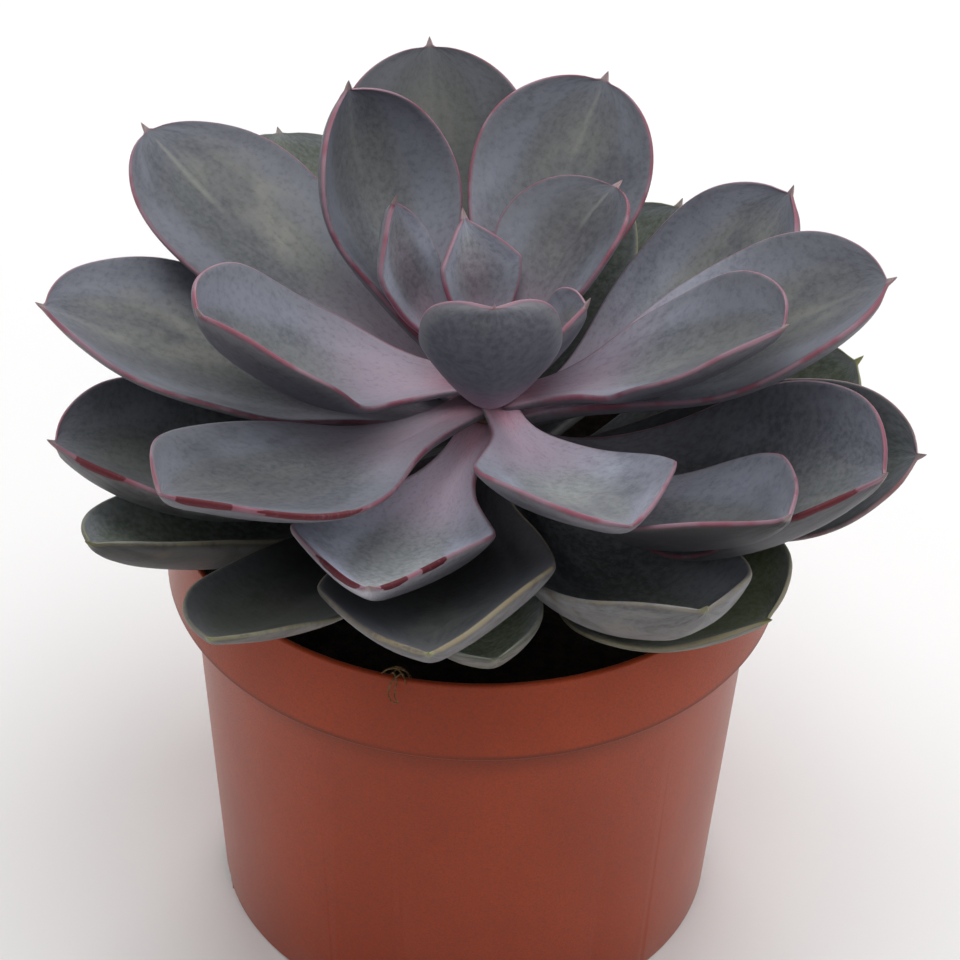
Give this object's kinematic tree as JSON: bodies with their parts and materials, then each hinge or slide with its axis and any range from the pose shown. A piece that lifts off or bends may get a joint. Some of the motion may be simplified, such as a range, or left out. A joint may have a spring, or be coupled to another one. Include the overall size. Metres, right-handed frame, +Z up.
{
  "type": "potted succulent",
  "caption": "Broad-leaved rosette succulent on a short stem, rooted in potting mix in a plain round nursery pot with a deep collar and drain holes under its foot.",
  "frame": {"origin": "middle of the pot's foot, on the surface that it stands on", "axes": "+Z up along the pot's axis; -Y towards the side that is seen in the picture, +X to its right"},
  "size_m": [0.146, 0.1498, 0.1452],
  "materials": {
    "pot": "satin",
    "potting_mix": "rough, damp peat and bark",
    "stem": "rough",
    "leaf_inner": "waxy bloom, matt",
    "leaf_outer": "waxy bloom, satin"
  },
  "bodies": {
    "root": {"pot": "pot", "soil": "potting_mix", "stem": "stem", "bud": "leaf_inner", "leaf_01": "leaf_inner", "leaf_02": "leaf_inner", "leaf_03": "leaf_inner", "leaf_04": "leaf_inner", "leaf_05": "leaf_inner", "leaf_06": "leaf_inner", "leaf_07": "leaf_inner", "leaf_08": "leaf_inner", "leaf_09": "leaf_inner", "leaf_10": "leaf_inner", "leaf_11": "leaf_inner", "leaf_12": "leaf_inner", "leaf_13": "leaf_inner", "leaf_14": "leaf_inner", "leaf_15": "leaf_inner", "leaf_16": "leaf_inner", "leaf_17": "leaf_inner", "leaf_18": "leaf_inner", "leaf_19": "leaf_outer", "leaf_20": "leaf_outer", "leaf_21": "leaf_outer", "leaf_22": "leaf_outer", "leaf_23": "leaf_outer", "leaf_24": "leaf_outer", "leaf_25": "leaf_outer", "leaf_26": "leaf_outer", "leaf_27": "leaf_outer", "leaf_28": "leaf_outer", "leaf_29": "leaf_outer", "leaf_30": "leaf_outer", "leaf_31": "leaf_outer", "leaf_32": "leaf_outer", "leaf_33": "leaf_outer", "leaf_34": "leaf_outer"}
  },
  "joints": []
}
